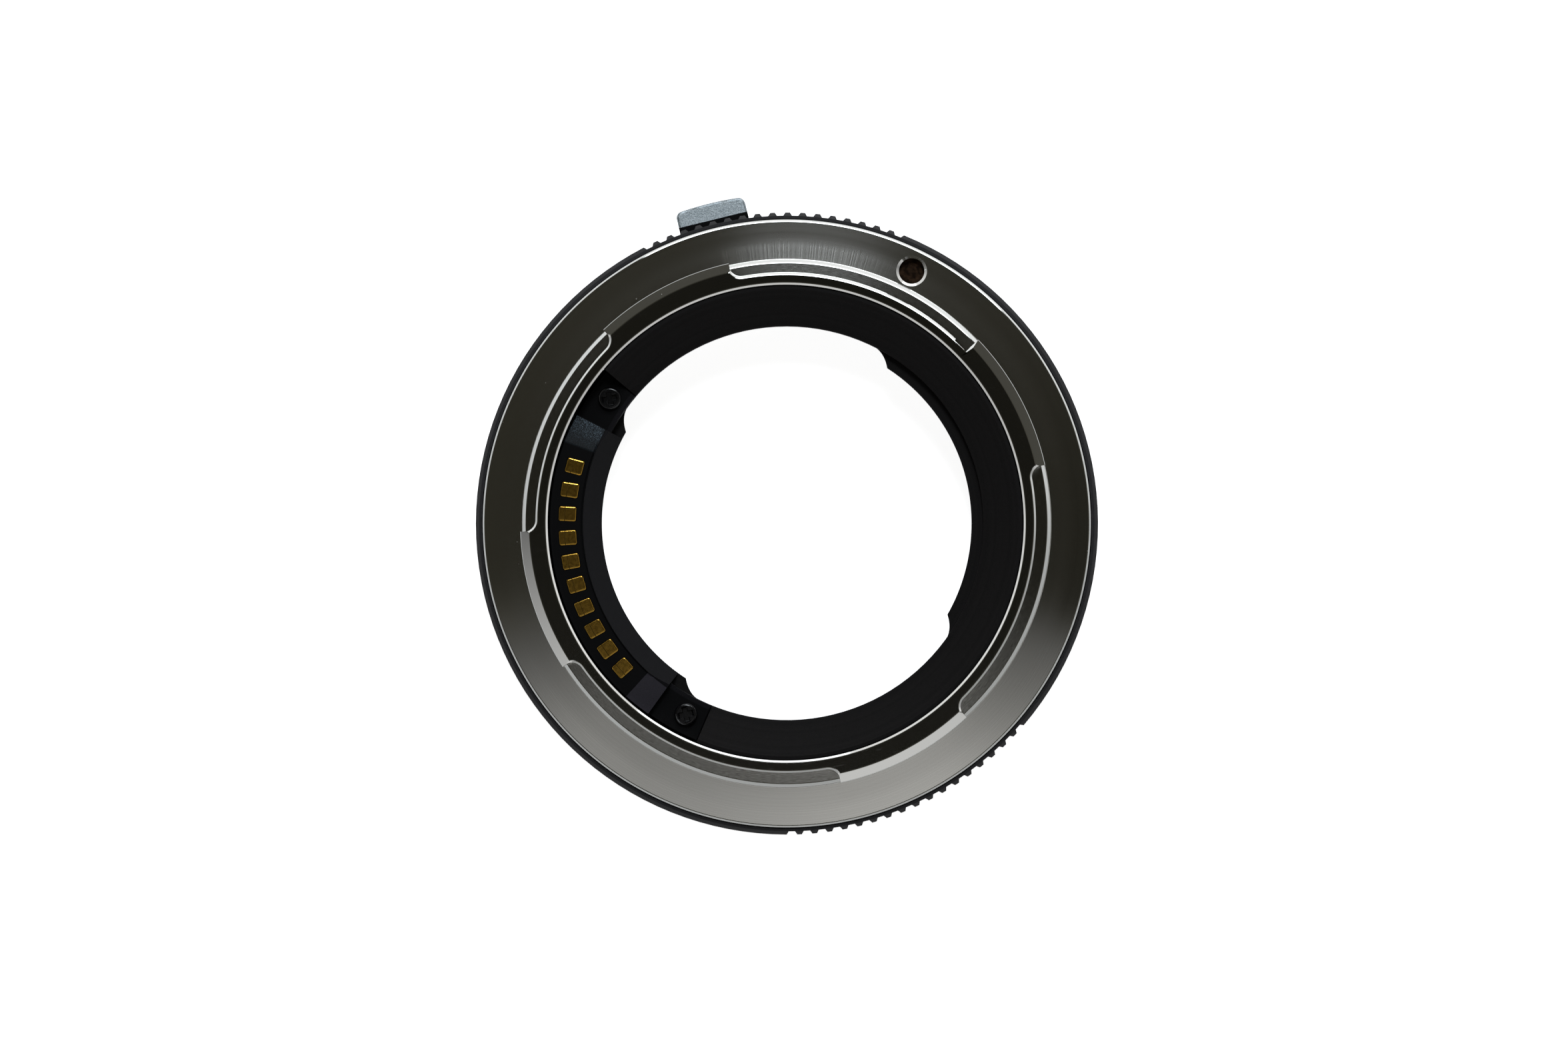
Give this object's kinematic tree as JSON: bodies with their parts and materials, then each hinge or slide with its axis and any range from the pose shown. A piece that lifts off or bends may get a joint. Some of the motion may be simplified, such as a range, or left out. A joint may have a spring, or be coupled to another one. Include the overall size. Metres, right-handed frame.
{
  "type": "lens mount adapter",
  "caption": "Thin ring that fits a bayonet lens to a mirrorless camera body, with a male camera bayonet, a contact strip, a light trap and a sprung lens lock with a release button.",
  "frame": {"origin": "on the optical axis, at the lens flange face that the part lies on", "axes": "+Z along the optical axis towards the camera body, +Y up in use, with the contacts below and the release button on -X"},
  "size_m": [0.0628, 0.0608, 0.0134],
  "materials": {
    "black_anodised": "matt black anodised aluminium",
    "polished_steel": "turned and polished metal",
    "screw_steel": "plain steel",
    "spring_steel": "spring steel",
    "matt_black_paint": "matt black light-trap finish",
    "black_moulding": "black moulded plastic",
    "black_screw": "black oxide",
    "gold_plate": "gold plate",
    "flex_film": "amber film",
    "board": "solder mask",
    "dark_window": "dark filter plastic",
    "shim_brass": "rolled brass",
    "satin_silver": "bead-blasted silver",
    "white_enamel": "white enamel"
  },
  "bodies": {
    "root": {"body_ring": "black_anodised", "camera_bayonet": "polished_steel", "camera_bayonet_screws": "screw_steel", "rear_liner": "matt_black_paint", "light_baffle": "matt_black_paint", "contact_block": "black_moulding", "contact_block_screws": "black_screw", "flex_circuit": "flex_film", "sensor_board": "board", "code_window": "dark_window", "lens_bayonet": "polished_steel", "lens_bayonet_screws": "screw_steel", "register_shim": "shim_brass", "lens_stop_pin": "screw_steel", "camera_index_dot": "white_enamel", "lens_index_dot": "white_enamel", "contact_01": "gold_plate", "contact_02": "gold_plate", "contact_03": "gold_plate", "contact_04": "gold_plate", "contact_05": "gold_plate", "contact_06": "gold_plate", "contact_07": "gold_plate", "contact_08": "gold_plate", "contact_09": "gold_plate", "contact_10": "gold_plate", "lug_spring_1": "spring_steel", "lug_spring_2": "spring_steel", "lug_spring_3": "spring_steel", "lug_spring_4": "spring_steel", "button_spring_1": "spring_steel", "button_spring_2": "spring_steel"},
    "button": {"release_button": "satin_silver", "button_slide": "black_anodised"},
    "lock": {"lock_pin": "screw_steel", "lock_dowel": "screw_steel"}
  },
  "joints": [
    {"name": "button_press", "type": "slide", "parent": "root", "child": "button", "axis": [1, 0, 0], "range_m": [0, 0.0011], "stiffness_N_per_m": 500, "springref_m": -0.002, "deforming": ["button_spring_1", "button_spring_2"]},
    {"name": "lock_retract", "type": "slide", "parent": "root", "child": "lock", "axis": [0, 0, 1], "range_m": [0, 0.0011]}
  ],
  "couplings": [
    {"joint": "lock_retract", "follows": "button_press", "ratio": 1}
  ]
}
